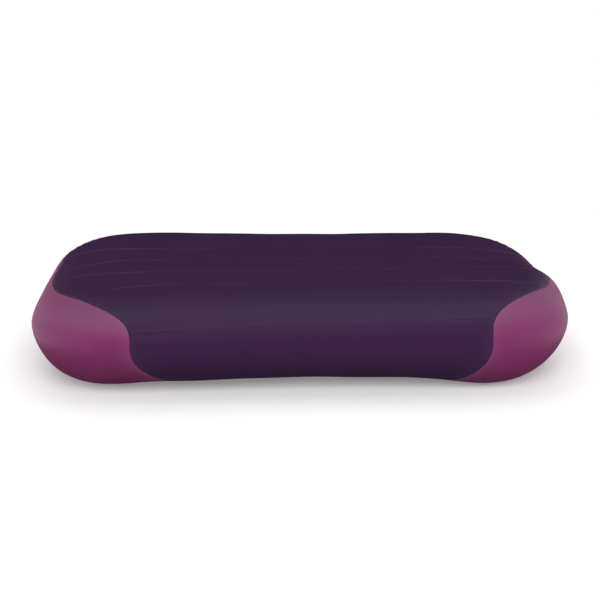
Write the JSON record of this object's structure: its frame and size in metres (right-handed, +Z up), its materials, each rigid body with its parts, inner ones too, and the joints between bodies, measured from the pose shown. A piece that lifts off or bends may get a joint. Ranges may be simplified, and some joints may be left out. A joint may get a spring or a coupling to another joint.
{
  "type": "inflatable wobble cushion",
  "caption": "Rectangular air-filled wobble cushion of coated fabric: dark welded top, contrasting end panels and base, internal baffles and a rear air valve with hinged plug and cap.",
  "frame": {"origin": "on the floor, under the middle of the cushion, in the middle of the flat base", "axes": "+X to the right along the long side, +Y from the front face to the rear face with the valve, +Z up"},
  "size_m": [0.4996, 0.3473, 0.081],
  "materials": {
    "dark_fabric": "matt coated dark purple fabric",
    "magenta_fabric": "matt coated magenta fabric",
    "web_fabric": "uncoated pale web and tape, inside",
    "black_rubber": "moulded black rubber",
    "grey_rubber": "soft grey silicone"
  },
  "bodies": {
    "cushion": {"upper_panel": "dark_fabric", "front_lower_panel": "dark_fabric", "rear_lower_panel": "dark_fabric", "base_panel": "magenta_fabric", "left_end_panel": "magenta_fabric", "right_end_panel": "magenta_fabric", "baffle_1": "web_fabric", "baffle_2": "web_fabric", "baffle_3": "web_fabric", "baffle_4": "web_fabric", "front_seam_tape": "web_fabric", "rear_seam_tape": "web_fabric", "front_base_tape": "web_fabric", "rear_base_tape": "web_fabric", "left_seam_tape": "web_fabric", "right_seam_tape": "web_fabric", "valve_flange": "black_rubber", "valve_strap_ring": "black_rubber"},
    "plug": {"valve_plug": "black_rubber"},
    "cap": {"inflate_cap": "black_rubber"},
    "flap": {"check_flap": "grey_rubber"}
  },
  "joints": [
    {"name": "plug_hinge", "type": "hinge", "parent": "cushion", "child": "plug", "pos_m": [0.06833, 0.17079, 0.0497], "axis": [0, 0, 1], "range_deg": [0, 110]},
    {"name": "cap_hinge", "type": "hinge", "parent": "plug", "child": "cap", "pos_m": [0.09563, 0.176, 0.0497], "axis": [0, 0, -1], "range_deg": [0, 120]},
    {"name": "flap_lift", "type": "slide", "parent": "plug", "child": "flap", "axis": [0.0443, -0.999, 0], "range_m": [0, 0.0015], "stiffness_N_per_m": 20}
  ]
}
